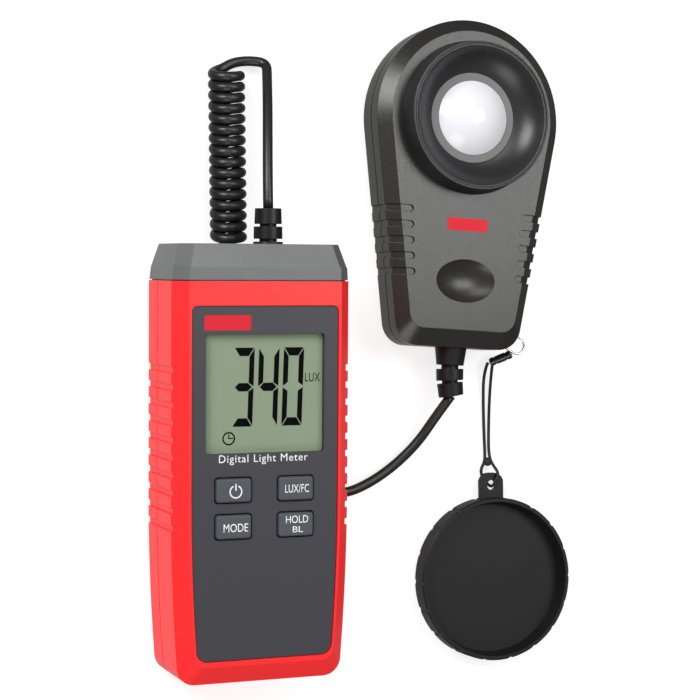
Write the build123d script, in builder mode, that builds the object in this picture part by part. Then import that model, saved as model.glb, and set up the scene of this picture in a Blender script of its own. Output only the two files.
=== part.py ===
"""Two-piece digital light meter, laid flat on its back.

A red display unit with a curly lead, a separate sensor head with a white
diffuser dome, and the dust cap that hangs on the head by a thin lanyard.
Millimetres, +Z up.  The origin is on the table, under the middle of the set.
"""
import os
from math import cos, pi, radians, sin, tan

from build123d import *

os.makedirs("parts", exist_ok=True)

# ---------------------------------------------------------------- driving sizes
# Display unit, in its own frame: x across, y from the foot to the top, z from the back
UNIT_X, UNIT_Y = -39.4, -89.3      # where the foot of the unit stands on the table
UNIT_TILT = 3.0                    # the top end rides on the lead that runs under it
WIDTH, LENGTH, DEPTH = 50.0, 117.5, 28.0
SHELL_TOP = 107.6                  # red shells end here, the grey cap starts after a reveal
REVEAL = 0.3
CREASE = 111.3                     # where the cap starts to slope
PARTING = 10.5                     # height of the joint between the two red shells
SEAM = 0.35                        # width and depth of the shadow line along a joint
BEVEL_W, BEVEL_H, FOOT_BEVEL = 3.6, 4.3, 5.3
BACK_BEVEL = 2.2
TAPER, TAPER_START = 2.1, 50.0     # the sides draw in towards the foot
WALL = 2.2
PLATE_BACK = 25.8                  # inner face of the front plate
PANEL_TOP_Z, PANEL_SEAT = 27.6, 27.1
PANEL_HALF, PANEL_Y0, PANEL_Y1 = 20.5, 6.8, 101.0
WINDOW_W, WINDOW_H, WINDOW_Y = 33.4, 31.8, 77.8
BUTTON_W, BUTTON_H = 9.9, 6.4
BUTTON_PLACES = ((-9.0, 52.2), (8.5, 52.2), (-9.0, 42.5), (8.5, 42.5))
OPENING_LINER = 0.6                # the panel's collars line the openings in the shell
BUTTON_TOP = 28.5
GROOVES, GROOVE_PITCH, GROOVE_FIRST = 10, 4.67, 42.1
GROOVE_W, GROOVE_DEPTH = 1.8, 0.6
SCREW_X, SCREW_ROWS = 20.2, (61.5, 102.0)
CELL_D, CELL_L, CELL_PITCH = 10.5, 44.5, 11.2

# Sensor head, in its own frame: origin under the dome, y along the handle, z from the back
HEAD_X, HEAD_Y, HEAD_TURN = 29.4, 64.3, -3.8
HEAD_R, HEAD_FOOT, HEAD_SIDE_TAPER = 28.4, -65.8, 8.6
HEAD_DEPTH, HEAD_PARTING = 17.0, 9.5
HEAD_BEVEL_W, HEAD_BEVEL_H, HEAD_FOOT_BEVEL = 3.5, 2.9, 5.0
HEAD_BACK_BEVEL = 4.0
HEAD_CORNER = 7.0
RIM_R, COLLAR_R, RIM_Z = 21.15, 22.0, 23.2
RIM_IN, BOWL_R = 19.9, 12.9
DOME_R, DOME_H = 10.6, 4.0
HEAD_GROOVES, HEAD_GROOVE_PITCH, HEAD_GROOVE_W = 5, 4.45, 2.0
HEAD_GROOVE_FIRST, HEAD_GROOVE_IN, HEAD_GROOVE_STEP = -27.4, 17.0, 0.36
HEAD_GROOVE_DEPTH = 0.55

HEAD_PLATE_BACK, SPIGOT_R = 15.0, 19.8
HEAD_SCREWS = ((15.1, 15.1), (-15.1, 15.1), (0.0, -54.2))
PIN_X, PIN_Y, PIN_R = 15.8, -60.8, 0.8     # lanyard pin in the foot corner
LOOP_Z, LOOP_TURN = 7.8, -27.5             # the wire loop's height, and its lie in the head's frame
LOOP_LENGTH, LOOP_HALF, LOOP_BACK = 10.6, 2.4, 1.35
DIMPLE_X, DIMPLE_Y, DIMPLE_W, DIMPLE_H, DIMPLE_DEPTH = 0.2, -46.8, 18.7, 12.6, 1.9
DIMPLE_BALL = 12.94                # radius across of the ball that leaves an oval of that width

# Dust cap, open side up
CAP_X, CAP_Y = 40.5, -69.3
CAP_R, CAP_H, CAP_OPEN, CAP_FLOOR_R, CAP_FLOOR = 23.8, 6.2, 22.6, 21.6, 1.6
SCALLOPS = 18
TAB_W, TAB_END, TAB_Z0, TAB_Z1 = 7.4, 31.0, 1.8, 3.4
HOLE_AT, HOLE_R = 27.4, 1.5        # lanyard hole, from the cap's centre

# Lead and lanyard
CORD_D, COIL_D = 2.8, 10.4
CORD_Z = CORD_D / 2 + 0.05         # centre line of the lead where it lies on the table
COIL_X, COIL_FOOT, COIL_TOP = -40.6, 28.9, 76.5
GLAND_X = 5.2
STRAND_D, WIRE_D = 0.9, 0.6
FERRULE_START, FERRULE_END, FERRULE_R = (45.6, -3.4, 7.0), (40.7, -5.8, 3.0), 1.25
LOOP_IN, LOOP_OUT, TAB_LOOP_HALF = 27.45, 32.45, 1.85   # the cord's loop round the tab, outside sizes
KNOT_AT, KNOT_R = 33.9, 1.2
STRANDS = {
    "left strand": [(40.7, -5.75, 3.0), (39.2, -8.5, 1.6), (39.3, -17.0, 0.5), (39.7, -26.5, 0.5),
                    (39.9, -34.9, 1.1)],
    "right strand": [(40.9, -5.7, 3.0), (41.3, -8.7, 1.6), (41.1, -17.0, 0.5), (40.6, -26.5, 0.5),
                     (40.3, -34.9, 1.1)],
}

unit = Plane(origin=(UNIT_X, UNIT_Y, 0), x_dir=(1, 0, 0),
             z_dir=(0, -sin(radians(UNIT_TILT)), cos(radians(UNIT_TILT))))
head = Plane(origin=(HEAD_X, HEAD_Y, 0),
             x_dir=(cos(radians(HEAD_TURN)), sin(radians(HEAD_TURN)), 0), z_dir=(0, 0, 1))


def at(base, x, y, z, turn=(0, 0, 0)):
    """A plane at a place in base's own frame, turned by the three angles."""
    return Plane(base.location * Location((x, y, z), turn))


def finish(part, name):
    """Label one finished piece and write it to its own file."""
    part.label = name
    export_step(part, f"parts/{name}.step")


# ---------------------------------------------------------------- display unit: casing
def unit_outline(half, foot, corner, top=SHELL_TOP, draw=TAPER):
    """Plan outline: straight sides that draw in along one large arc to a round-cornered foot."""
    narrow = half - draw
    middle = (TAPER_START + foot) / 2
    with BuildSketch() as outline:
        with BuildLine():
            for side in (1, -1):
                Line((side * half, top), (side * half, TAPER_START))
                ThreePointArc((side * half, TAPER_START), (side * (half - draw / 4), middle),
                              (side * narrow, foot))
            Line((narrow, foot), (-narrow, foot))
            Line((half, top), (-half, top))
        make_face()
        fillet(outline.vertices().group_by(Axis.Y)[0], corner)
    return outline.sketch


def panel_outline(grow):
    """Outline of the face panel, or of its seat if it grows."""
    with BuildSketch() as outline:
        add(unit_outline(PANEL_HALF + grow, PANEL_Y0 - grow, 3.1, PANEL_Y1 + grow, TAPER * 0.8))
        fillet(outline.vertices().group_by(Axis.Y)[-1], 1.7)
    return outline.sketch


def openings(grow):
    """Display opening and the four key openings."""
    with BuildSketch() as holes:
        with Locations((0, WINDOW_Y)):
            RectangleRounded(WINDOW_W + 2 * grow, WINDOW_H + 2 * grow, 0.8)
        with Locations(*BUTTON_PLACES):
            RectangleRounded(BUTTON_W + 0.7 + 2 * grow, BUTTON_H + 0.7 + 2 * grow, 1.1)
    return holes.sketch


def groove_cutter():
    """Cross grooves for both side walls; they run out on the front bevel."""
    side = WIDTH / 2
    edge = DEPTH - BEVEL_H
    with BuildPart() as cutter:
        for row in range(GROOVES):
            y = GROOVE_FIRST + row * GROOVE_PITCH
            with BuildSketch(at(unit, 0, y - GROOVE_W / 2, 0, (-90, 0, 0))):
                for sign in (1, -1):
                    inner = sign * (side - GROOVE_DEPTH)
                    outer = sign * (side + 1)
                    with BuildLine():
                        Polyline((inner, 1), (inner, 0.4 - edge), (inner - sign * 1.1, -edge - 1.4),
                                 (outer, -edge - 1.4), (outer, 1), close=True)
                    make_face()
            extrude(amount=GROOVE_W)
    return cutter.part


grip_grooves = groove_cutter()

with BuildPart() as front_shell:
    with BuildSketch(unit.offset(PARTING)):
        add(unit_outline(WIDTH / 2, 0, 5.0))
    extrude(amount=DEPTH - BEVEL_H - PARTING)
    with BuildSketch(unit.offset(DEPTH - BEVEL_H)):
        add(unit_outline(WIDTH / 2, 0, 5.0))
    with BuildSketch(unit.offset(DEPTH)):
        add(unit_outline(WIDTH / 2 - BEVEL_W, FOOT_BEVEL, 3.4))
    loft(ruled=True)
    # the hollow, stepped in where the bevel thins the corner
    with BuildSketch(unit.offset(PARTING)):
        add(unit_outline(WIDTH / 2 - WALL, WALL, 3.0, SHELL_TOP + 1))
    extrude(amount=22.5 - PARTING, mode=Mode.SUBTRACT)
    with BuildSketch(unit.offset(22.4)):
        add(unit_outline(WIDTH / 2 - 4.9, FOOT_BEVEL + 1.2, 2.4, SHELL_TOP + 1))
    extrude(amount=PLATE_BACK - 22.4, mode=Mode.SUBTRACT)
    # screw posts
    with BuildSketch(unit.offset(PARTING)):
        for y in SCREW_ROWS:
            with Locations((SCREW_X, y), (-SCREW_X, y)):
                Circle(2.2)
                Circle(1.15, mode=Mode.SUBTRACT)
    extrude(amount=24.0 - PARTING)
    # panel seat, display opening and key openings
    with BuildSketch(unit.offset(PANEL_SEAT)):
        add(panel_outline(0.15))
    extrude(amount=2, mode=Mode.SUBTRACT)
    with BuildSketch(unit.offset(PLATE_BACK - 0.1)):
        add(openings(OPENING_LINER))
    extrude(amount=3, mode=Mode.SUBTRACT)
    add(grip_grooves, mode=Mode.SUBTRACT)
    # shadow line along the joint
    with BuildSketch(unit.offset(PARTING)):
        add(unit_outline(WIDTH / 2 + 1, -1, 5.0, SHELL_TOP + 1))
        add(unit_outline(WIDTH / 2 - SEAM, SEAM, 4.8, SHELL_TOP + 1), mode=Mode.SUBTRACT)
    extrude(amount=SEAM, mode=Mode.SUBTRACT)
finish(front_shell.part, "front_shell")

with BuildPart() as rear_shell:
    with BuildSketch(unit.offset(BACK_BEVEL)):
        add(unit_outline(WIDTH / 2, 0, 5.0))
    extrude(amount=PARTING - 0.15 - BACK_BEVEL)
    with BuildSketch(unit):
        add(unit_outline(WIDTH / 2 - BACK_BEVEL, BACK_BEVEL, 3.4))
    with BuildSketch(unit.offset(BACK_BEVEL)):
        add(unit_outline(WIDTH / 2, 0, 5.0))
    loft(ruled=True)
    with BuildSketch(unit.offset(2.0)):
        add(unit_outline(WIDTH / 2 - WALL, WALL, 3.0, SHELL_TOP + 1))
    extrude(amount=PARTING, mode=Mode.SUBTRACT)
    # screw bosses and their counterbores, open at the back
    with BuildSketch(unit.offset(1.0)):
        for y in SCREW_ROWS:
            with Locations((SCREW_X, y), (-SCREW_X, y)):
                Circle(3.1)
    extrude(amount=PARTING - 0.2 - 1.0)
    for y in SCREW_ROWS:
        with Locations(at(unit, SCREW_X, y, 0, (180, 0, 0)), at(unit, -SCREW_X, y, 0, (180, 0, 0))):
            CounterBoreHole(1.25, 2.3, 3.0)
    # seat and rails of the battery door, open at the foot, and the way into the bay
    with BuildSketch(unit.offset(-0.1)):
        with Locations((0, 28.2)):
            Rectangle(36.5, 60.5)
    extrude(amount=0.85, mode=Mode.SUBTRACT)
    with BuildSketch(unit.offset(0.55)):
        with Locations((0, 28.2)):
            Rectangle(38.1, 60.5)
    extrude(amount=1.15, mode=Mode.SUBTRACT)
    with BuildSketch(unit.offset(1.0)):
        with Locations((0, 32.0)):
            Rectangle(34.4, 50.0)
    extrude(amount=2, mode=Mode.SUBTRACT)
    add(grip_grooves, mode=Mode.SUBTRACT)
finish(rear_shell.part, "rear_shell")


def cap_section(half, front, back, bevel_w, bevel_h):
    """Eight-sided section of the grey cap, drawn looking up the unit."""
    with BuildSketch() as section:
        with BuildLine():
            Polyline((half - BACK_BEVEL, -back), (half, -back - BACK_BEVEL), (half, bevel_h - front),
                     (half - bevel_w, -front), (bevel_w - half, -front), (-half, bevel_h - front),
                     (-half, -back - BACK_BEVEL), (BACK_BEVEL - half, -back), close=True)
        make_face()
    return section.sketch


with BuildPart() as top_cap:
    for y0, y1, half0, half1, lean in ((SHELL_TOP + REVEAL, CREASE, 24.85, 24.45, 0),
                                       (CREASE, LENGTH, 24.45, 22.6, 2.1)):
        with BuildSketch(at(unit, 0, y0, 0, (-90, 0, 0))):
            add(cap_section(half0, DEPTH, 0, BEVEL_W, BEVEL_H))
        with BuildSketch(at(unit, 0, y1, 0, (-90, 0, 0))):
            add(cap_section(half1, DEPTH - lean, lean * 0.6, BEVEL_W * 0.9, BEVEL_H * 0.9))
        loft(ruled=True)
    with BuildSketch(at(unit, 0, SHELL_TOP, DEPTH / 2, (-90, 0, 0))):
        RectangleRounded(40.5, 21.5, 3.0)
    extrude(amount=LENGTH - WALL - SHELL_TOP, mode=Mode.SUBTRACT)
    # lip that closes the reveal from inside
    with BuildSketch(at(unit, 0, SHELL_TOP, 0, (-90, 0, 0))):
        add(cap_section(WIDTH / 2 - 0.7, DEPTH - 0.7, 0.7, BEVEL_W, BEVEL_H))
        with Locations((0, -DEPTH / 2)):
            RectangleRounded(42.0, 22.5, 3.0, mode=Mode.SUBTRACT)
    extrude(amount=REVEAL)
    with BuildSketch(at(unit, GLAND_X, LENGTH - 4, DEPTH / 2, (-90, 0, 0))):
        Circle(2.5)
    extrude(amount=6, mode=Mode.SUBTRACT)
finish(top_cap.part, "top_cap")

with BuildPart() as face_panel:
    with BuildSketch(unit.offset(PANEL_SEAT)):
        add(panel_outline(0))
        add(openings(0), mode=Mode.SUBTRACT)
    extrude(amount=PANEL_TOP_Z - PANEL_SEAT)
    with BuildSketch(unit.offset(PLATE_BACK)):
        add(openings(OPENING_LINER - 0.05))
        add(openings(0), mode=Mode.SUBTRACT)
    extrude(amount=PANEL_SEAT - PLATE_BACK)
finish(face_panel.part, "face_panel")

# ---------------------------------------------------------------- display unit: display and keys
with BuildPart() as display_window:
    with BuildSketch(unit.offset(PLATE_BACK)):
        with Locations((0, WINDOW_Y)):
            RectangleRounded(WINDOW_W - 0.3, WINDOW_H - 0.3, 0.7)
    extrude(amount=0.9)
finish(display_window.part, "display_window")

with BuildPart() as lcd_glass:
    with BuildSketch(unit.offset(23.7)):
        with Locations((0, WINDOW_Y)):
            Rectangle(35.0, 34.0)
    extrude(amount=PLATE_BACK - 0.1 - 23.7)
finish(lcd_glass.part, "lcd_glass")

with BuildPart() as lcd_backlight:
    with BuildSketch(unit.offset(22.1)):
        with Locations((0, WINDOW_Y)):
            Rectangle(34.4, 30.0)
    extrude(amount=1.5)
finish(lcd_backlight.part, "lcd_backlight")

with BuildPart() as lcd_connector:
    with BuildSketch(unit.offset(22.05)):
        with Locations((0, WINDOW_Y + 16.1)):
            Rectangle(30.0, 1.6)
    extrude(amount=1.6)
finish(lcd_connector.part, "lcd_connector")

with BuildPart() as main_board:
    with BuildSketch(unit.offset(20.4)):
        with Locations((0, 66.0)):
            Rectangle(43.0, 76.0)
        for y in SCREW_ROWS:
            with Locations((SCREW_X, y), (-SCREW_X, y)):
                Circle(2.6, mode=Mode.SUBTRACT)
    extrude(amount=1.6)
finish(main_board.part, "main_board")

with BuildPart() as controller_chip:
    with BuildSketch(unit.offset(19.0)):
        with Locations((0, 78.0)):
            RectangleRounded(12.0, 12.0, 0.6)
    extrude(amount=1.35)
finish(controller_chip.part, "controller_chip")

with BuildPart() as keypad_mat:
    with BuildSketch(unit.offset(22.05)):
        with Locations((0, 47.3)):
            RectangleRounded(32.0, 19.5, 1.5)
    extrude(amount=0.5)
    with BuildSketch(unit.offset(22.5)):
        with Locations(*BUTTON_PLACES):
            Circle(2.6)
    extrude(amount=0.75, taper=12)
finish(keypad_mat.part, "keypad_mat")

BUTTON_NAMES = ("power_button", "unit_button", "mode_button", "hold_button")
for button_name, (x, y) in zip(BUTTON_NAMES, BUTTON_PLACES):
    with BuildPart() as button:
        with BuildSketch(unit.offset(24.7)):
            with Locations((x, y)):
                RectangleRounded(BUTTON_W + 1.6, BUTTON_H + 1.6, 1.8)
        extrude(amount=0.7)
        with BuildSketch(unit.offset(24.2)):
            with Locations((x, y)):
                RectangleRounded(BUTTON_W, BUTTON_H, 0.9)
        extrude(amount=BUTTON_TOP - 24.2)
        crown = button.faces().sort_by(Axis.Z)[-1]
        fillet(crown.edges(), 0.6)
    finish(button.part, button_name)

# ---------------------------------------------------------------- display unit: power
with BuildPart() as battery_tray:
    with BuildSketch(unit.offset(2.1)):
        with Locations((0, 32.0)):
            Rectangle(36.0, 51.6)
            Rectangle(34.0, 49.4, mode=Mode.SUBTRACT)
    extrude(amount=11.2)
    with BuildSketch(unit.offset(13.3)):
        with Locations((0, 32.0)):
            Rectangle(36.0, 51.6)
    extrude(amount=1.0)
finish(battery_tray.part, "battery_tray")

CELL_Z = 7.45
CELL_FOOT = 11.0
with BuildPart() as batteries:
    for column in (-1, 0, 1):
        flip = -1 if column == 0 else 1
        middle = CELL_FOOT + CELL_L / 2
        start = at(unit, column * CELL_PITCH, middle - flip * CELL_L / 2, CELL_Z, (-90 * flip, 0, 0))
        with BuildSketch(start):
            Circle(CELL_D / 2)
        extrude(amount=CELL_L - 1.0)
        with BuildSketch(start.offset(CELL_L - 1.0)):
            Circle(1.9)
        extrude(amount=1.0)
finish(batteries.part, "batteries")

with BuildPart() as battery_contacts:
    for column in (-1, 0, 1):
        for end_y, thick in ((7.35, 0.4), (56.25, 0.4)):
            with BuildSketch(at(unit, column * CELL_PITCH, end_y, CELL_Z, (-90, 0, 0))):
                RectangleRounded(8.4, 8.4, 1.0)
            extrude(amount=thick)
        spring_y = 7.75 if column != 0 else CELL_FOOT + CELL_L + 0.05
        reach = CELL_FOOT - 0.05 - 7.75 if column != 0 else 56.25 - spring_y
        with BuildSketch(at(unit, column * CELL_PITCH, spring_y, CELL_Z, (-90, 0, 0))):
            Circle(3.2)
            Circle(2.4, mode=Mode.SUBTRACT)
        extrude(amount=reach)
finish(battery_contacts.part, "battery_contacts")

with BuildPart() as battery_door:
    with BuildSketch(unit):
        with Locations((0, 29.9)):
            Rectangle(36.0, 56.4)
    extrude(amount=1.5)
    with BuildSketch(unit.offset(0.85)):
        with Locations((0, 29.9)):
            Rectangle(37.5, 56.4)
    extrude(amount=0.65)
    foot_edge = battery_door.edges().group_by(Axis.Y)[0].sort_by(Axis.Z)[0]
    chamfer(foot_edge, 0.8)
    # thumb grooves
    with BuildSketch(unit):
        with Locations((0, 9.0), (0, 11.5), (0, 14.0), (0, 16.5)):
            SlotOverall(14.0, 1.1)
    extrude(amount=0.5, mode=Mode.SUBTRACT)
finish(battery_door.part, "battery_door")

with BuildPart() as case_screws:
    for y in SCREW_ROWS:
        for x in (SCREW_X, -SCREW_X):
            with BuildSketch(unit.offset(1.2)):
                with Locations((x, y)):
                    Circle(2.1)
            extrude(amount=1.8)
            with BuildSketch(unit.offset(3.0)):
                with Locations((x, y)):
                    Circle(1.1)
            extrude(amount=14.0)
            with BuildSketch(unit.offset(1.1)):
                with Locations((x, y)):
                    Rectangle(2.6, 0.6)
                    Rectangle(0.6, 2.6)
            extrude(amount=1.0, mode=Mode.SUBTRACT)
finish(case_screws.part, "case_screws")


# ---------------------------------------------------------------- strain reliefs
def ribbed_relief(foot, shank, flange, steps):
    """Turned relief on the plane foot: a flanged shank inside the wall, then the ribs outside.

    Each step gives its length, its two radii and the angle by which its end leans.
    Returns the relief and the plane of its end.
    """
    with BuildPart() as relief:
        with BuildSketch(foot.offset(-shank)):
            Circle(flange)
        extrude(amount=0.9)
        with BuildSketch(foot.offset(-shank)):
            Circle(2.45)
        extrude(amount=shank)
        base = foot
        for length, radius0, radius1, lean in steps:
            end = Plane(base.offset(length).location * Location((0, 0, 0), (0, lean, 0)))
            with BuildSketch(base):
                Circle(radius0)
            with BuildSketch(end):
                Circle(radius1)
            loft()
            base = end
    return relief.part, base


UNIT_RELIEF = ((0.7, 4.1, 4.0, 0), (0.8, 2.4, 2.4, 0), (3.3, 3.95, 3.9, 0), (0.75, 2.3, 2.3, 0),
               (4.2, 3.75, 3.6, 0))
HEAD_RELIEF = ((5.0, 4.6, 3.95, 0), (1.1, 2.5, 2.5, 3), (3.3, 3.95, 3.9, 2), (0.8, 2.3, 2.3, 4),
               (3.7, 3.75, 3.6, 3))

unit_relief_foot = at(unit, GLAND_X, LENGTH, DEPTH / 2, (-90, 0, 0))
head_relief_foot = at(head, 0.4, HEAD_FOOT, HEAD_DEPTH / 2, (90, 0, -0.5))
unit_gland, lead_start = ribbed_relief(unit_relief_foot, 3.4, 3.4, UNIT_RELIEF)
finish(unit_gland, "unit_gland")
head_gland, lead_end = ribbed_relief(head_relief_foot, 7.0, 3.2, HEAD_RELIEF)
finish(head_gland, "head_gland")
print("lead runs from", tuple(lead_start.origin), "to", tuple(lead_end.origin))


# ---------------------------------------------------------------- sensor head
SIDE_ANGLE = radians(HEAD_SIDE_TAPER)


def head_outline(grow, foot, corner):
    """Round top, straight sides that close in on the foot, round corners."""
    radius = HEAD_R + grow
    touch_x, touch_y = radius * cos(SIDE_ANGLE), -radius * sin(SIDE_ANGLE)
    low_x = touch_x - (touch_y - foot) * tan(SIDE_ANGLE)
    with BuildSketch() as outline:
        with BuildLine():
            ThreePointArc((-touch_x, touch_y), (0, radius), (touch_x, touch_y))
            Line((touch_x, touch_y), (low_x, foot))
            Line((low_x, foot), (-low_x, foot))
            Line((-low_x, foot), (-touch_x, touch_y))
        make_face()
        fillet(outline.vertices().group_by(Axis.Y)[0], corner)
    return outline.sketch


def head_side(y):
    """Half width of the head at a place on its straight sides."""
    return HEAD_R * cos(SIDE_ANGLE) + (y + HEAD_R * sin(SIDE_ANGLE)) * tan(SIDE_ANGLE)


def head_body(shrink):
    """Front half of the head's outside, or the same shape with every face moved in."""
    grow, foot = -shrink, HEAD_FOOT + shrink
    with BuildPart() as body:
        with BuildSketch(head.offset(HEAD_PARTING)):
            add(head_outline(grow, foot, HEAD_CORNER))
        extrude(amount=HEAD_DEPTH - HEAD_BEVEL_H - HEAD_PARTING - shrink * 0.4)
        with BuildSketch(head.offset(HEAD_DEPTH - HEAD_BEVEL_H - shrink * 0.4)):
            add(head_outline(grow, foot, HEAD_CORNER))
        with BuildSketch(head.offset(HEAD_DEPTH - shrink)):
            add(head_outline(grow * 0.5 - HEAD_BEVEL_W, foot + HEAD_FOOT_BEVEL - shrink * 0.5, 4.4))
        loft(ruled=True)
    return body.part


def head_groove_cutter():
    """Pill-ended grip grooves of one depth that run from the face over the bevel and the side walls."""
    with BuildPart() as cutter:
        for row in range(HEAD_GROOVES):
            y = HEAD_GROOVE_FIRST - row * HEAD_GROOVE_PITCH
            inner = HEAD_GROOVE_IN - HEAD_GROOVE_STEP * row
            for side in (1, -1):
                with BuildSketch(head.offset(HEAD_PARTING - 0.1)):
                    with Locations((side * (inner + 10), y)):
                        SlotOverall(20.0, HEAD_GROOVE_W)
                extrude(amount=HEAD_DEPTH - HEAD_PARTING + 1)
        add(head_body(HEAD_GROOVE_DEPTH), mode=Mode.SUBTRACT)
        for row in range(HEAD_GROOVES):
            y = HEAD_GROOVE_FIRST - row * HEAD_GROOVE_PITCH
            for side in (1, -1):
                with BuildSketch(head.offset(-1)):
                    with Locations((side * (head_side(y) + 2 - HEAD_GROOVE_DEPTH), y)):
                        Rectangle(4.0, HEAD_GROOVE_W)
                extrude(amount=HEAD_PARTING + 2)
    return cutter.part


head_grooves = head_groove_cutter()
def thumb_dimple():
    """An oval hollow: a flattened ball sunk into the face."""
    with BuildPart() as ball:
        Sphere(DIMPLE_BALL)
        scale(by=(1, DIMPLE_H / DIMPLE_W, 0.5))
    sunk = HEAD_DEPTH + DIMPLE_BALL * 0.5 - DIMPLE_DEPTH
    return ball.part.moved(at(head, DIMPLE_X, DIMPLE_Y, sunk).location)


def gland_way():
    """Stepped way for the head's strain relief through the foot of both shells."""
    with BuildPart() as way:
        with BuildSketch(head_relief_foot.offset(-8.2)):
            Circle(2.55)
        extrude(amount=9.0)
        with BuildSketch(head_relief_foot.offset(-8.2)):
            Circle(3.4)
        extrude(amount=2.2)
    return way.part


head_gland_way = gland_way()

with BuildPart() as head_front_shell:
    add(head_body(0))
    with BuildSketch(head.offset(HEAD_PARTING)):
        add(head_outline(-4.6, HEAD_FOOT + 5.6, 3.0))
    extrude(amount=HEAD_PLATE_BACK - HEAD_PARTING, mode=Mode.SUBTRACT)
    with BuildSketch(head.offset(HEAD_PARTING)):
        with Locations(*HEAD_SCREWS):
            Circle(1.9)
    extrude(amount=HEAD_PLATE_BACK - HEAD_PARTING)
    with BuildSketch(head.offset(HEAD_PARTING)):
        with Locations(*HEAD_SCREWS):
            Circle(0.95)
    extrude(amount=4.6, mode=Mode.SUBTRACT)
    with BuildSketch(head.offset(HEAD_PLATE_BACK - 1)):
        Circle(SPIGOT_R + 0.1)
    extrude(amount=4, mode=Mode.SUBTRACT)
    add(thumb_dimple(), mode=Mode.SUBTRACT)
    add(head_grooves, mode=Mode.SUBTRACT)
    add(head_gland_way, mode=Mode.SUBTRACT)
    # shadow line along the joint
    with BuildSketch(head.offset(HEAD_PARTING)):
        add(head_outline(1, HEAD_FOOT - 1, HEAD_CORNER))
        add(head_outline(-SEAM, HEAD_FOOT + SEAM, HEAD_CORNER), mode=Mode.SUBTRACT)
    extrude(amount=SEAM, mode=Mode.SUBTRACT)
finish(head_front_shell.part, "head_front_shell")

pin = at(head, PIN_X, PIN_Y, 0)
loop_frame = Plane(pin.location * Location((0, 0, LOOP_Z), (0, 0, LOOP_TURN)))
with BuildPart() as head_rear_shell:
    with BuildSketch(head.offset(HEAD_BACK_BEVEL)):
        add(head_outline(0, HEAD_FOOT, HEAD_CORNER))
    extrude(amount=HEAD_PARTING - 0.15 - HEAD_BACK_BEVEL)
    with BuildSketch(head):
        add(head_outline(-3.0, HEAD_FOOT + 3.0, 5.0))
    with BuildSketch(head.offset(HEAD_BACK_BEVEL)):
        add(head_outline(0, HEAD_FOOT, HEAD_CORNER))
    loft(ruled=True)
    with BuildSketch(head.offset(2.0)):
        add(head_outline(-5.4, HEAD_FOOT + 9.0, 3.0))
    extrude(amount=HEAD_PARTING, mode=Mode.SUBTRACT)
    with BuildSketch(head.offset(1.0)):
        with Locations(*HEAD_SCREWS):
            Circle(3.0)
    extrude(amount=HEAD_PARTING - 1.2)
    for x, y in HEAD_SCREWS:
        with Locations(at(head, x, y, 0, (180, 0, 0))):
            CounterBoreHole(1.15, 2.2, 3.0)
    add(head_grooves, mode=Mode.SUBTRACT)
    add(head_gland_way, mode=Mode.SUBTRACT)
    # notch for the lanyard's wire loop, and the seat of the pin that holds it
    with BuildSketch(loop_frame.offset(-1.6)):
        with Locations((3.0, 0)):
            Circle(5.6)
    extrude(amount=4, mode=Mode.SUBTRACT)
    with BuildSketch(pin.offset(3.4)):
        Circle(PIN_R)
    extrude(amount=5, mode=Mode.SUBTRACT)
finish(head_rear_shell.part, "head_rear_shell")

with BuildPart() as lanyard_pin:
    with BuildSketch(pin.offset(3.4)):
        Circle(PIN_R)
    extrude(amount=HEAD_PARTING - 0.2 - 3.4)
finish(lanyard_pin.part, "lanyard_pin")


with BuildPart() as light_collar:
    with BuildSketch(Plane.XZ):
        with BuildLine():
            Polyline((BOWL_R + 0.1, 14.6), (SPIGOT_R, 14.6), (SPIGOT_R, HEAD_DEPTH),
                     (COLLAR_R, HEAD_DEPTH), (RIM_R, RIM_Z - 0.3), (RIM_R - 0.1, RIM_Z - 0.08),
                     (RIM_R - 0.3, RIM_Z), (20.65, RIM_Z), (20.5, RIM_Z - 0.35), (20.3, RIM_Z - 0.35),
                     (20.15, RIM_Z - 0.1), (RIM_IN, RIM_Z - 0.1))
            ThreePointArc((RIM_IN, RIM_Z - 0.1), (16.8, 19.1), (BOWL_R + 0.1, HEAD_DEPTH))
            Line((BOWL_R + 0.1, HEAD_DEPTH), (BOWL_R + 0.1, 14.6))
        make_face()
    revolve(axis=Axis.Z)
finish(light_collar.part.moved(head.location), "light_collar")

with BuildPart() as dome_ring:
    with BuildSketch(head.offset(15.2)):
        Circle(BOWL_R)
        Circle(DOME_R + 0.05, mode=Mode.SUBTRACT)
    extrude(amount=HEAD_DEPTH - 15.2)
finish(dome_ring.part, "dome_ring")

DOME_BALL = (DOME_R ** 2 + DOME_H ** 2) / (2 * DOME_H)     # the dome is a slice of this ball
DOME_WALL = 1.5
ball_z = HEAD_DEPTH + DOME_H - DOME_BALL
with BuildPart() as diffuser_dome:
    with Locations((0, 0, ball_z)):
        Sphere(DOME_BALL)
        Sphere(DOME_BALL - DOME_WALL, mode=Mode.SUBTRACT)
    with Locations((0, 0, HEAD_DEPTH + DOME_H / 2)):
        Cylinder(DOME_R, DOME_H + 0.02, mode=Mode.INTERSECT)
    with BuildSketch(Plane.XY.offset(15.2)):
        Circle(DOME_R)
        Circle(DOME_R - DOME_WALL, mode=Mode.SUBTRACT)
    extrude(amount=HEAD_DEPTH + 0.1 - 15.2)
finish(diffuser_dome.part.moved(head.location), "diffuser_dome")

with BuildPart() as filter_holder:
    with BuildSketch(head.offset(11.3)):
        Circle(10.4)
        Rectangle(8.2, 7.2, mode=Mode.SUBTRACT)
    extrude(amount=2.2)
    with BuildSketch(head.offset(13.5)):
        Circle(10.4)
        Circle(7.2, mode=Mode.SUBTRACT)
    extrude(amount=1.6)
finish(filter_holder.part, "filter_holder")

with BuildPart() as filter_glass:
    with BuildSketch(head.offset(13.55)):
        Circle(7.1)
    extrude(amount=1.0)
finish(filter_glass.part, "filter_glass")

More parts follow.
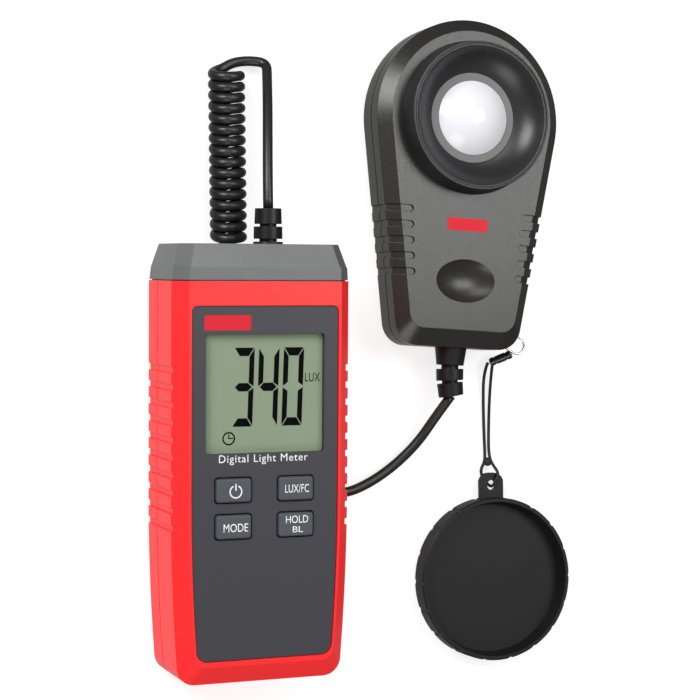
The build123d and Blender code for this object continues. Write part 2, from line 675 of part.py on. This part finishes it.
with BuildPart() as photodiode:
    with BuildSketch(head.offset(11.25)):
        Rectangle(7.4, 6.4)
    extrude(amount=1.7)
finish(photodiode.part, "photodiode")

with BuildPart() as sensor_board:
    with BuildSketch(head.offset(9.6)):
        with Locations((0, -6)):
            RectangleRounded(24.0, 44.0, 2.0)
    extrude(amount=1.6)
finish(sensor_board.part, "sensor_board")

with BuildPart() as head_screws:
    for x, y in HEAD_SCREWS:
        with BuildSketch(head.offset(1.2)):
            with Locations((x, y)):
                Circle(2.0)
        extrude(amount=1.8)
        with BuildSketch(head.offset(3.0)):
            with Locations((x, y)):
                Circle(0.9)
        extrude(amount=10.6)
        with BuildSketch(head.offset(1.1)):
            with Locations((x, y)):
                Rectangle(2.4, 0.6)
                Rectangle(0.6, 2.4)
        extrude(amount=1.0, mode=Mode.SUBTRACT)
finish(head_screws.part, "head_screws")


# ---------------------------------------------------------------- lead
def corner_radii(points):
    """Radius of each corner of a route, as large as its two runs allow."""
    radii = []
    for before, corner, after in zip(points, points[1:], points[2:]):
        arrive, leave = Vector(corner) - Vector(before), Vector(after) - Vector(corner)
        half_turn = radians(arrive.get_angle(leave)) / 2
        radii.append(0.45 * min(arrive.length, leave.length) / tan(half_turn))
    return radii


def tube(points, diameter, name):
    """Round cord along straight runs joined by tangent arcs."""
    radii = corner_radii(points)
    with BuildPart() as cord:
        with BuildLine():
            route = FilletPolyline(*points, radius=radii)
        with BuildSketch(Plane(origin=route @ 0, z_dir=route % 0)):
            Circle(diameter / 2)
        sweep(path=route)
    section = pi * diameter ** 2 / 4
    print(f"{name}: length {route.length:.1f}, radii", [round(r, 1) for r in radii],
          f"volume ratio {cord.part.volume / (section * route.length):.3f}")
    return cord.part


LEAD_ROUTE = [tuple(lead_start.origin), (-34.1, 43.7, 20.3), (-32.9, 54.5, 17.2), (-31.0, 66.0, 12.2),
              (-28.3, 80.6, 3.0), (-37.2, 79.9, 1.7), (-40.8, 76.5, 3.0)]
TAIL_ROUTE = [(-42.0, 28.9, 2.6), (-42.3, 21.8, 1.5), (-36.5, 10.4, CORD_Z), (-26.6, -1.6, CORD_Z),
              (-18.2, -14.6, CORD_Z), (-14.6, -27.4, CORD_Z), (-14.6, -36.0, CORD_Z),
              (-10.8, -41.6, CORD_Z), (-4.9, -42.9, CORD_Z)]
HEAD_TAIL_ROUTE = [(-4.0, -42.8, CORD_Z), (3.4, -39.6, CORD_Z), (11.3, -34.5, 1.5),
                   (17.6, -28.2, 2.9), (21.6, -21.2, 5.8), tuple(lead_end.origin)]

finish(tube(LEAD_ROUTE, CORD_D, "cord_lead"), "cord_lead")
finish(tube(TAIL_ROUTE, CORD_D, "cord_tail"), "cord_tail")
finish(tube(HEAD_TAIL_ROUTE, CORD_D, "cord_tail_head"), "cord_tail_head")

with BuildPart() as cord_coil:
    with BuildSketch(Plane(origin=(COIL_X, COIL_FOOT, COIL_D / 2 + 0.05), z_dir=(0, 1, 0))):
        Circle(COIL_D / 2)
    extrude(amount=COIL_TOP - COIL_FOOT)
finish(cord_coil.part, "cord_coil")

# ---------------------------------------------------------------- lanyard
def racetrack(plane, length, half):
    """Closed path: two straight sides joined by half rounds, centred on the plane."""
    straight = length / 2 - half
    with BuildLine(plane) as path:
        Line((-straight, half), (straight, half))
        ThreePointArc((straight, half), (straight + half, 0), (straight, -half))
        Line((straight, -half), (-straight, -half))
        ThreePointArc((-straight, -half), (-straight - half, 0), (-straight, half))
    return path.wire()


def ring(plane, length, half, diameter):
    """Closed racetrack ring of round wire or cord."""
    path = racetrack(plane, length, half)
    with BuildPart() as body:
        with BuildSketch(Plane(origin=path @ 0, z_dir=path % 0)):
            Circle(diameter / 2)
        sweep(path=path)
    return body.part


loop_middle = Plane(loop_frame.location * Location((LOOP_LENGTH / 2 - LOOP_BACK, 0, 0)))
finish(ring(loop_middle, LOOP_LENGTH, LOOP_HALF, WIRE_D), "wire_loop")

ferrule_axis = Vector(*FERRULE_END) - Vector(*FERRULE_START)
ferrule_plane = Plane(origin=FERRULE_START, z_dir=ferrule_axis)
with BuildPart() as ferrule:
    with BuildSketch(ferrule_plane):
        Circle(FERRULE_R)
    extrude(amount=ferrule_axis.length)
    chamfer(ferrule.edges().filter_by(GeomType.CIRCLE), 0.25)
    for place in (1.6, ferrule_axis.length - 1.6):
        with BuildSketch(ferrule_plane.offset(place - 0.3)):
            Circle(FERRULE_R + 0.1)
            Circle(FERRULE_R - 0.2, mode=Mode.SUBTRACT)
        extrude(amount=0.6, mode=Mode.SUBTRACT)
finish(ferrule.part, "ferrule")

cap = Plane(origin=(CAP_X, CAP_Y, 0))
tab_loop = at(cap, 0, (LOOP_IN + LOOP_OUT) / 2, (TAB_Z0 + TAB_Z1) / 2, (0, 90, 90))
with BuildPart() as lanyard_cord:
    for name, route in STRANDS.items():
        add(tube(route, STRAND_D, name))
    with Locations((CAP_X - 0.3, CAP_Y + KNOT_AT, KNOT_R + 0.3)):
        Sphere(KNOT_R)
    add(ring(tab_loop, LOOP_OUT - LOOP_IN, TAB_LOOP_HALF, STRAND_D))
finish(lanyard_cord.part, "lanyard_cord")

# ---------------------------------------------------------------- dust cap
with BuildPart() as lens_cap:
    with BuildSketch(Plane.XZ):
        with BuildLine():
            Polyline((0, 0), (CAP_R - 0.6, 0), (CAP_R, 0.6), (CAP_R, CAP_H - 0.4), (CAP_R - 0.4, CAP_H),
                     (CAP_OPEN, CAP_H), (CAP_FLOOR_R, CAP_FLOOR), (0, CAP_FLOOR), close=True)
        make_face()
    revolve(axis=Axis.Z)
    with BuildSketch():
        with PolarLocations(CAP_R + 0.5, SCALLOPS):
            Circle(0.9)
    extrude(amount=CAP_H + 1, mode=Mode.SUBTRACT)
    with BuildSketch(Plane.XY.offset(TAB_Z0)):
        with Locations((0, (CAP_FLOOR_R + 1.4 + TAB_END - 2.0) / 2)):
            Rectangle(TAB_W, TAB_END - 2.0 - CAP_FLOOR_R - 1.4)
        with Locations((0, TAB_END - 3.0)):
            RectangleRounded(TAB_W, 6.0, 2.9)
        with Locations((0, HOLE_AT)):
            Circle(HOLE_R, mode=Mode.SUBTRACT)
    extrude(amount=TAB_Z1 - TAB_Z0)
finish(lens_cap.part.moved(cap.location), "lens_cap")
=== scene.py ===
"""A light meter on a pale table: red display unit, curly lead, sensor head and tethered dust cap."""
import math

import bmesh
import bpy
from mathutils import Euler, Matrix, Vector


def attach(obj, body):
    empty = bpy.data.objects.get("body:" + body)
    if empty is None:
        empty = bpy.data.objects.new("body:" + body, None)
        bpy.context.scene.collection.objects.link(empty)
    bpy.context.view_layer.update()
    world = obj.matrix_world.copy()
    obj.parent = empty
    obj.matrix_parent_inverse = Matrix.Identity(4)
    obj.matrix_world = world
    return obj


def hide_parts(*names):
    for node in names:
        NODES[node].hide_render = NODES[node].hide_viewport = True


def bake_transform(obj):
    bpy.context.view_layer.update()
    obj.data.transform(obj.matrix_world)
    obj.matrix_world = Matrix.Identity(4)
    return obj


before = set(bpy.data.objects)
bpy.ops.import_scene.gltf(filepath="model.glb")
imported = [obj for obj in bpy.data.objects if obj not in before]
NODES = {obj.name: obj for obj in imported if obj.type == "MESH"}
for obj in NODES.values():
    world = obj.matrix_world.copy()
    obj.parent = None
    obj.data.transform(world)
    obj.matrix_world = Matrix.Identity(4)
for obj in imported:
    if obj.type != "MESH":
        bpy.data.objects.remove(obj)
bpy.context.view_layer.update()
MM = 0.001
TILT = math.radians(3.0)           # the display unit leans on the lead under its far end
HEAD_TURN = math.radians(-3.8)


# ---------------------------------------------------------------- materials
def linear(r, g, b):
    """Display values from 0 to 255 as linear light."""
    parts = [c / 255 for c in (r, g, b)]
    return tuple(((c + 0.055) / 1.055) ** 2.4 if c > 10 / 255 else c / 12.92 for c in parts) + (1.0,)


RANGE_SOCKETS = ("From Min", "From Max", "To Min", "To Max")


class Nodes:
    """A material's node tree, with short calls to add and join nodes."""

    def __init__(self, name):
        self.material = bpy.data.materials.new(name)
        self.material.use_nodes = True
        self.tree = self.material.node_tree
        self.shader = self.tree.nodes["Principled BSDF"]

    def add(self, kind, **values):
        node = self.tree.nodes.new(kind)
        for key, value in values.items():
            if key in node.inputs:
                node.inputs[key].default_value = value
            else:
                setattr(node, key, value)
        return node

    def join(self, out, into):
        self.tree.links.new(out, into)

    def place(self):
        return self.add("ShaderNodeTexCoord").outputs["Object"]

    def noise(self, scale, detail=3.0, rough=0.55):
        node = self.add("ShaderNodeTexNoise", Scale=scale, Detail=detail, Roughness=rough)
        self.join(self.place(), node.inputs["Vector"])
        return node.outputs["Fac"]

    def band(self, value, low, high, out_low, out_high):
        node = self.add("ShaderNodeMapRange")
        for socket, number in zip(RANGE_SOCKETS, (low, high, out_low, out_high)):
            node.inputs[socket].default_value = number
        self.join(value, node.inputs["Value"])
        return node.outputs["Result"]

    def blend(self, factor, first, second):
        node = self.add("ShaderNodeMix", data_type="RGBA")
        self.join(factor, node.inputs["Factor"])
        node.inputs["A"].default_value = first
        node.inputs["B"].default_value = second
        return node.outputs["Result"]


def plastic(name, colour, rough=0.5, grain=900.0, bump=0.06, vary=0.06, coat=0.0, spec=0.5, edge=0.00018):
    """Moulded plastic or rubber: fine spark texture, faint blotches in colour and sheen, rounded edges."""
    n = Nodes(name)
    dark = tuple(c * (1 - vary) for c in colour[:3]) + (1.0,)
    light = tuple(min(1.0, c * (1 + vary)) for c in colour[:3]) + (1.0,)
    blotch = n.noise(70.0, 4.0)
    n.join(n.blend(n.band(blotch, 0.35, 0.65, 0.0, 1.0), dark, light), n.shader.inputs["Base Color"])
    fine = n.noise(grain, 2.0, 0.6)
    sheen = n.band(fine, 0.3, 0.7, max(0.02, rough - 0.07), min(1.0, rough + 0.07))
    n.join(sheen, n.shader.inputs["Roughness"])
    n.shader.inputs["Specular IOR Level"].default_value = spec
    n.shader.inputs["Coat Weight"].default_value = coat
    round_edges = n.add("ShaderNodeBevel", samples=4, Radius=edge)
    bumps = n.add("ShaderNodeBump", Strength=bump, Distance=0.0002)
    n.join(fine, bumps.inputs["Height"])
    n.join(round_edges.outputs["Normal"], bumps.inputs["Normal"])
    n.join(bumps.outputs["Normal"], n.shader.inputs["Normal"])
    return n.material


def metal(name, colour, rough):
    n = Nodes(name)
    n.shader.inputs["Metallic"].default_value = 1.0
    n.shader.inputs["Base Color"].default_value = colour
    fine = n.noise(1500.0, 2.0)
    n.join(n.band(fine, 0.3, 0.7, rough * 0.7, rough * 1.3), n.shader.inputs["Roughness"])
    return n.material


def clear(name, tint, rough, alpha):
    """A clear sheet: mostly see-through, with a gloss of its own."""
    n = Nodes(name)
    n.shader.inputs["Base Color"].default_value = tint
    n.shader.inputs["Roughness"].default_value = rough
    n.shader.inputs["Alpha"].default_value = alpha
    return n.material


RED = plastic("red_abs", linear(255, 34, 36), 0.34, 3200, 0.06, 0.01)
CAP_GREY = plastic("cap_grey_abs", linear(98, 99, 99), 0.34, 2000, 0.25, 0.05)
PANEL = plastic("panel_grey", linear(54, 53, 58), 0.42, 3200, 0.03, 0.01, spec=0.45)
KEY = plastic("key_rubber", linear(68, 73, 78), 0.5, 3000, 0.03, 0.02, edge=0.0003, spec=0.4)
BLACK = plastic("black_abs", linear(33, 33, 34), 0.33, 3000, 0.01, 0.02)
CAP_BLACK = plastic("dust_cap_rubber", linear(20, 20, 21), 0.45, 2600, 0.03, 0.02, spec=0.3)
CORD = plastic("lead_jacket", linear(28, 28, 28), 0.36, 2600, 0.02, 0.03)
GLAND = plastic("gland_rubber", linear(16, 16, 16), 0.4, 2600, 0.04, 0.03, spec=0.35)
HEAD = plastic("head_grey_abs", linear(34, 33, 31), 0.3, 2600, 0.015, 0.02)
RING = plastic("ring_grey", linear(102, 102, 102), 0.5, 3000, 0.04, 0.02)
DOME = plastic("opal_dome", linear(224, 223, 228), 0.16, 500, 0.0, 0.005)
LCD = plastic("lcd_glass", linear(140, 156, 131), 0.45, 300, 0.0, 0.01, spec=0.1)
INK = plastic("lcd_segments", linear(3, 4, 3), 0.7, 800, 0.0, 0.05, spec=0.0)
WHITE_INK = plastic("white_print", linear(240, 240, 240), 0.5, 1500, 0.02, 0.02)
RED_INK = plastic("red_print", linear(205, 30, 46), 0.5, 1500, 0.02, 0.02, spec=0.2)
FIBRE = plastic("lanyard_fibre", linear(20, 20, 20), 0.7, 2400, 0.4, 0.15)
BOARD = plastic("solder_mask", linear(28, 92, 50), 0.3, 900, 0.03, 0.06)
CELL = plastic("cell_sleeve", linear(60, 62, 70), 0.25, 600, 0.0, 0.1)
STEEL = metal("plated_steel", linear(200, 200, 198), 0.3)
CHROME = metal("bright_wire", linear(225, 225, 225), 0.12)
CRIMP = plastic("crimp_black", linear(20, 20, 20), 0.15, 600, 0.0, 0.05, coat=0.5)
WINDOW = clear("clear_window", (0.03, 0.03, 0.03, 1), 0.08, 0.05)
FILTER = clear("green_filter", linear(120, 190, 120), 0.05, 0.6)

FINISH = {
    "front_shell": RED, "rear_shell": RED, "battery_door": RED, "top_cap": CAP_GREY, "face_panel": PANEL,
    "display_window": WINDOW, "lcd_glass": LCD, "lcd_backlight": WHITE_INK, "lcd_connector": KEY,
    "main_board": BOARD, "controller_chip": BLACK, "keypad_mat": BLACK,
    "power_button": KEY, "unit_button": KEY, "mode_button": KEY, "hold_button": KEY,
    "battery_tray": BLACK, "batteries": CELL, "battery_contacts": STEEL, "case_screws": STEEL,
    "unit_gland": GLAND, "head_gland": GLAND, "head_front_shell": HEAD, "head_rear_shell": HEAD,
    "lanyard_pin": STEEL, "light_collar": BLACK, "dome_ring": RING, "diffuser_dome": DOME,
    "filter_holder": BLACK, "filter_glass": FILTER, "photodiode": BLACK, "sensor_board": BOARD,
    "head_screws": STEEL, "wire_loop": CHROME, "ferrule": CRIMP, "lens_cap": CAP_BLACK,
    "cord_lead": CORD, "cord_tail": CORD, "cord_tail_head": CORD, "cord_coil": CORD, "lanyard_cord": FIBRE,
}
for name, node in NODES.items():
    node.data.materials.clear()
    node.data.materials.append(FINISH[name])

# ---------------------------------------------------------------- the housings' own frames
UNIT = Matrix.Translation((-0.0394, -0.0893, 0)) @ Matrix.Rotation(TILT, 4, "X")
HEAD_FRAME = Matrix.Translation((0.0294, 0.0643, 0)) @ Matrix.Rotation(HEAD_TURN, 4, "Z")


def piece(name, bm, material, body=None):
    """A finished mesh as a piece, which rides on a body where one is given."""
    mesh = bpy.data.meshes.new(name)
    bm.to_mesh(mesh)
    bm.free()
    mesh.materials.append(material)
    made = bpy.data.objects.new(name, mesh)
    bpy.context.scene.collection.objects.link(made)
    if body:
        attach(made, body)
    return made


# ---------------------------------------------------------------- lead
CORD_D = 0.0028                    # metres; the routes below are in millimetres
LEAD = [(-34.2, 37.05, 20.64), (-34.1, 43.7, 20.3), (-32.9, 54.5, 17.2), (-31.0, 66.0, 12.2),
        (-29.1, 75.2, 6.6), (-28.1, 79.4, 3.6), (-32.7, 80.1, 2.0), (-37.3, 79.5, 1.45)]
TAIL = [(-42.3, 21.8, 1.5), (-36.5, 10.4, 1.45), (-26.6, -1.6, 1.45), (-18.2, -14.6, 1.45),
        (-14.6, -27.4, 1.45), (-14.6, -36.0, 1.45), (-10.8, -41.6, 1.45), (-4.9, -42.9, 1.45),
        (3.4, -39.6, 1.45), (11.3, -34.5, 1.5), (17.6, -28.2, 2.9), (21.6, -21.2, 5.8),
        (25.34, -15.25, 8.49)]
COIL_X, COIL_Z, COIL_R = -40.6, 5.25, 3.8
COIL_TOP, COIL_FOOT, TURNS = 76.7, 28.86, 16
AROUND = 16                        # control points in each turn
START = -0.25                      # in turns: the coil begins at the lowest point of its circle
LEAN, TIP = 0.25, 0.3              # slant of each turn along the coil, in pitches
SWELL = 1 / (0.75 + 0.25 * math.cos(2 * math.pi / AROUND))     # the spline runs inside its points


def helix():
    """Control points of the curly part, from its top end down to its foot."""
    pitch = (COIL_TOP - COIL_FOOT) / TURNS
    points = []
    for i in range(TURNS * AROUND + 1):
        turn = START - i / AROUND
        angle = 2 * math.pi * turn
        slant = LEAN * pitch * math.cos(angle) - TIP * pitch * math.sin(angle)
        y = COIL_TOP + pitch * (turn - START) + slant
        x, z = COIL_R * SWELL * math.cos(angle), COIL_R * SWELL * math.sin(angle)
        points.append((COIL_X + x, y, COIL_Z + z))
    return points


def smooth_line(points):
    """Points read from the smooth line that a NURBS spline makes of a route in millimetres."""
    curve = bpy.data.curves.new("route", "CURVE")
    curve.dimensions = "3D"
    curve.resolution_u = 6
    spline = curve.splines.new("NURBS")
    spline.points.add(len(points) - 1)
    for point, place in zip(spline.points, points):
        point.co = (*[c * MM for c in place], 1.0)
    spline.order_u = 3
    spline.use_endpoint_u = True
    holder = bpy.data.objects.new("route", curve)
    mesh = bpy.data.meshes.new_from_object(holder)
    line = [v.co.copy() for v in mesh.vertices]
    bpy.data.objects.remove(holder)
    bpy.data.curves.remove(curve)
    bpy.data.meshes.remove(mesh)
    return line


def tube(line, radius, sides=20):
    """A round tube along a line, with a ring at each of its points and closed ends."""
    bm = bmesh.new()
    last = len(line) - 1
    tangents = [(line[min(i + 1, last)] - line[max(i - 1, 0)]).normalized() for i in range(len(line))]
    across = tangents[0].orthogonal().normalized()
    rings = []
    for place, tangent in zip(line, tangents):
        across = (across - tangent * across.dot(tangent)).normalized()
        up = tangent.cross(across)
        rings.append([bm.verts.new(place + radius * (across * math.cos(a) + up * math.sin(a)))
                      for a in (2 * math.pi * k / sides for k in range(sides))])
    for ring, after in zip(rings, rings[1:]):
        for k in range(sides):
            face = bm.faces.new((ring[k], ring[(k + 1) % sides], after[(k + 1) % sides], after[k]))
            face.smooth = True
    bm.faces.new(reversed(rings[0]))
    bm.faces.new(rings[-1])
    return bm


lead_line = smooth_line(LEAD + helix() + TAIL)
lead = piece("curly_lead", tube(lead_line, CORD_D / 2), CORD)
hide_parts("cord_lead", "cord_coil", "cord_tail", "cord_tail_head")
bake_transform(lead)

# ---------------------------------------------------------------- print, digits and badges
LCD_TOP, PANEL_TOP, KEY_TOP, HEAD_TOP = 25.7, 27.6, 28.5, 17.0
SKIN = 0.02                        # how far print stands over its surface
CLEAR = 0.002                      # air under print, so that it doesn't share its surface's plane
SEGMENT_LOW, SEGMENT_HIGH = LCD_TOP + 0.01, LCD_TOP + 0.04


def flat_shapes(shapes, low, high, frame_of):
    """Closed outlines in millimetres, raised between two levels and set in a housing's frame."""
    bm = bmesh.new()
    for shape in shapes:
        bottom = [bm.verts.new((x, y, low)) for x, y in shape]
        top = [bm.verts.new((x, y, high)) for x, y in shape]
        bm.faces.new(reversed(bottom))
        bm.faces.new(top)
        for k in range(len(shape)):
            after = (k + 1) % len(shape)
            bm.faces.new((bottom[k], bottom[after], top[after], top[k]))
    bmesh.ops.transform(bm, matrix=frame_of @ Matrix.Scale(MM, 4), verts=bm.verts)
    return bm


def rounded_box(x0, y0, x1, y1, radius):
    """Outline of a rectangle with round corners, anticlockwise."""
    corners = ((x1 - radius, y1 - radius, 0), (x0 + radius, y1 - radius, 90),
               (x0 + radius, y0 + radius, 180), (x1 - radius, y0 + radius, 270))
    turns = [(cx, cy, math.radians(start + 15 * k)) for cx, cy, start in corners for k in range(7)]
    return [(cx + radius * math.cos(a), cy + radius * math.sin(a)) for cx, cy, a in turns]


def ring_shapes(cx, cy, outer, inner, start, end):
    """Short pieces of a round band between two angles in degrees."""
    steps = max(6, int((end - start) / 12))
    shapes = []
    for k in range(steps):
        a0, a1 = (math.radians(start + (end - start) * (k + e) / steps) for e in (0, 1))
        shapes.append([(cx + r * math.cos(a), cy + r * math.sin(a))
                       for r, a in ((outer, a0), (outer, a1), (inner, a1), (inner, a0))])
    return shapes


def words(name, text, box, level, material, body, spread=1.0):
    """Flat lettering fitted to a box in a housing's frame."""
    curve = bpy.data.curves.new(name, "FONT")
    curve.body = text
    curve.extrude = 0.5
    curve.space_character = spread
    curve.resolution_u = 4
    holder = bpy.data.objects.new(name, curve)
    mesh = bpy.data.meshes.new_from_object(holder)
    bpy.data.objects.remove(holder)
    bpy.data.curves.remove(curve)
    xs, ys = [v.co.x for v in mesh.vertices], [v.co.y for v in mesh.vertices]
    x0, y0, x1, y1 = box
    wide, tall = (x1 - x0) / (max(xs) - min(xs)), (y1 - y0) / (max(ys) - min(ys))
    for v in mesh.vertices:
        across, up = (v.co.x - min(xs)) * wide, (v.co.y - min(ys)) * tall
        v.co = (x0 + across, y0 + up, level + SKIN * (v.co.z + 0.6))
    bm = bmesh.new()
    bm.from_mesh(mesh)
    bpy.data.meshes.remove(mesh)
    bmesh.ops.transform(bm, matrix=UNIT @ Matrix.Scale(MM, 4), verts=bm.verts)
    return piece(name, bm, material, body)


# seven-segment digits: a is the top, then b to f clockwise round the digit, and g is the middle
SEGMENTS = {"3": "abcdg", "4": "bcfg", "0": "abcdef"}
DIGIT_X, DIGIT_Y, DIGIT_W, DIGIT_H, DIGIT_PITCH = -8.9, 68.9, 5.75, 21.0, 7.0
BAR, POST, GAP, SLANT = 2.2, 1.4, 0.2, math.tan(math.radians(1.8))


def segment(letter, x):
    """Outline of one segment of the digit that starts at x, before the slant."""
    half, w, h = DIGIT_H / 2, DIGIT_W, DIGIT_H
    if letter == "a":
        return [(x + GAP, h), (x + POST + GAP, h - BAR), (x + w - POST - GAP, h - BAR), (x + w - GAP, h)]
    if letter == "d":
        return [(x + GAP, 0), (x + w - GAP, 0), (x + w - POST - GAP, BAR), (x + POST + GAP, BAR)]
    if letter == "g":
        near, far = x + POST + GAP, x + w - POST - GAP
        return [(x + GAP + 0.3, half), (near, half - BAR / 2), (far, half - BAR / 2),
                (x + w - GAP - 0.3, half), (far, half + BAR / 2), (near, half + BAR / 2)]
    left = letter in "ef"
    low, high = (GAP, half - GAP) if letter in "ce" else (half + GAP, h - GAP)
    foot, top = (0, BAR * 0.55) if letter in "ce" else (BAR * 0.55, 0)
    out, into = (x, x + POST) if left else (x + w, x + w - POST)
    shape = [(out, low), (into, low + BAR - foot), (into, high - BAR + top), (out, high)]
    return shape if not left else list(reversed(shape))


digits = []
for place, figure in enumerate("340"):
    for letter in SEGMENTS[figure]:
        outline = segment(letter, place * DIGIT_PITCH)
        digits.append([(DIGIT_X + x + y * SLANT, DIGIT_Y + y) for x, y in outline])
digits_bm = flat_shapes(digits, SEGMENT_LOW, SEGMENT_HIGH, UNIT)
bmesh.ops.recalc_face_normals(digits_bm, faces=digits_bm.faces)
piece("lcd_digits", digits_bm, INK, "display_unit")
words("lcd_units", "LUX", (11.8, 80.6, 16.1, 83.0), LCD_TOP, INK, "display_unit")
timer = ring_shapes(-9.7, 65.8, 1.8, 1.4, 0, 360) + [
    [(-9.85, 65.7), (-8.5, 65.7), (-8.5, 66.0), (-9.85, 66.0)],
    [(-9.85, 65.7), (-9.55, 65.7), (-9.55, 67.0), (-9.85, 67.0)]]
piece("lcd_timer", flat_shapes(timer, SEGMENT_LOW, SEGMENT_HIGH, UNIT), INK, "display_unit")

words("panel_title", "Digital Light Meter", (-13.0, 58.9, 12.0, 61.6), PANEL_TOP, WHITE_INK,
      "display_unit", 1.12)
badge = flat_shapes([rounded_box(-17.1, 94.6, -4.2, 98.6, 0.4)], PANEL_TOP + CLEAR, PANEL_TOP + SKIN, UNIT)
piece("panel_badge", badge, RED_INK, "display_unit")
badge = flat_shapes([rounded_box(-6.3, -32.5, 6.3, -28.9, 0.4)], HEAD_TOP + CLEAR, HEAD_TOP + SKIN,
                    HEAD_FRAME)
piece("head_badge", badge, RED_INK, "sensor_head")
power = ring_shapes(-8.55, 51.9, 1.8, 1.45, 115, 425) + [
    [(-8.72, 52.2), (-8.38, 52.2), (-8.38, 54.0), (-8.72, 54.0)]]
piece("power_mark", flat_shapes(power, KEY_TOP + CLEAR, KEY_TOP + SKIN, UNIT), WHITE_INK, "power_key")
words("mode_mark", "MODE", (-11.95, 41.2, -5.1, 43.4), KEY_TOP, WHITE_INK, "mode_key")
words("unit_mark", "LUX/FC", (5.3, 51.1, 12.1, 53.3), KEY_TOP, WHITE_INK, "unit_key")
words("hold_mark", "HOLD", (5.55, 42.9, 11.9, 44.9), KEY_TOP, WHITE_INK, "hold_key")
words("backlight_mark", "BL", (7.5, 40.4, 10.4, 42.0), KEY_TOP, WHITE_INK, "hold_key")

# ---------------------------------------------------------------- lanyard cord
STRAND_D, KNOT_R = 0.9, 1.3
KNOT = Vector((40.2, -35.1, 1.4))
LANYARD = [(41.5, -5.9, 3.0), (41.8, -8.9, 1.3), (41.4, -17.0, 0.55), (41.0, -26.5, 0.55), (40.8, -33.6, 0.9),
           (41.4, -36.2, 2.6), (42.5, -38.4, 4.1), (41.4, -40.6, 4.2), (40.6, -42.4, 3.6), (40.2, -42.0, 1.4),
           (38.6, -39.4, 0.7), (38.1, -37.4, 0.9), (39.2, -35.4, 1.2), (39.6, -33.4, 0.9),
           (39.5, -26.5, 0.55), (39.4, -17.0, 0.55), (39.3, -8.9, 1.3), (39.9, -5.9, 3.0)]
strand_line = smooth_line(LANYARD)
strand = tube(strand_line, STRAND_D / 2 * MM, 12)
bmesh.ops.create_icosphere(strand, subdivisions=3, radius=KNOT_R * MM, matrix=Matrix.Translation(KNOT * MM))
cord_piece = piece("lanyard_braid", strand, FIBRE, "lanyard")
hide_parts("lanyard_cord")

# ---------------------------------------------------------------- table, light and camera
bm = bmesh.new()
bmesh.ops.create_grid(bm, x_segments=2, y_segments=2, size=3.0)
table = bpy.data.meshes.new("table")
bm.to_mesh(table)
bm.free()
floor = bpy.data.objects.new("table", table)
floor.location.z = -0.0003
bpy.context.scene.collection.objects.link(floor)
TABLE = plastic("table_top", linear(155, 155, 155), 0.7, 200, 0.0, 0.005)
glow = TABLE.node_tree.nodes["Principled BSDF"].inputs
glow["Emission Color"].default_value = (1, 1, 1, 1)
glow["Emission Strength"].default_value = 0.75
table.materials.append(TABLE)
floor.visible_glossy = False
bpy.context.scene.view_settings.view_transform = "Standard"


MIDDLE = (0, 0, 0.01)


def lamp(name, place, size, power):
    """A soft rectangular light that faces the middle of the object."""
    light = bpy.data.lights.new(name, "AREA")
    light.shape = "RECTANGLE"
    light.size, light.size_y = size
    light.energy = power
    made = bpy.data.objects.new(name, light)
    made.location = place
    made.rotation_euler = (Vector(MIDDLE) - Vector(place)).to_track_quat("-Z", "Y").to_euler()
    bpy.context.scene.collection.objects.link(made)


lamp("key", (-0.60, 0.48, 0.55), (0.42, 0.42), 6.5)
lamp("window", (0.457, 0.185, 0.916), (0.34, 0.44), 3.2)
lamp("overhead", (0.05, 0.50, 0.80), (0.5, 0.4), 2.0)
lamp("fill", (-0.25, -0.65, 0.65), (0.5, 0.5), 2.4)

# a grey sky that brightens upward, over a lower half that stands in for the table in reflections
world = bpy.data.worlds.new("studio")
world.use_nodes = True
sky = world.node_tree
gradient = sky.nodes.new("ShaderNodeMapRange")
split = sky.nodes.new("ShaderNodeSeparateXYZ")
where = sky.nodes.new("ShaderNodeTexCoord")
sky.links.new(where.outputs["Generated"], split.inputs["Vector"])
sky.links.new(split.outputs["Z"], gradient.inputs["Value"])
for socket, number in zip(RANGE_SOCKETS, (-0.1, 0.8, 0.08, 0.3)):
    gradient.inputs[socket].default_value = number
below = sky.nodes.new("ShaderNodeMath")
below.operation = "MULTIPLY"
below.inputs[1].default_value = -0.55
sky.links.new(split.outputs["Z"], below.inputs[0])
either = sky.nodes.new("ShaderNodeMath")
either.operation = "MAXIMUM"
sky.links.new(gradient.outputs["Result"], either.inputs[0])
sky.links.new(below.outputs["Value"], either.inputs[1])
sky.links.new(either.outputs["Value"], sky.nodes["Background"].inputs["Strength"])
sky.nodes["Background"].inputs["Color"].default_value = (1, 1, 1, 1)
bpy.context.scene.world = world

camera = bpy.data.cameras.new("camera")
camera.lens = 100.47
camera.sensor_width = 36.0
camera.clip_start, camera.clip_end = 0.05, 20.0
eye = bpy.data.objects.new("camera", camera)
eye.location = (-0.21076, -0.00383, 0.52268)
eye.rotation_euler = Euler((0.00901, -0.37902, -0.01392), "XYZ")
bpy.context.scene.collection.objects.link(eye)
bpy.context.scene.camera = eye
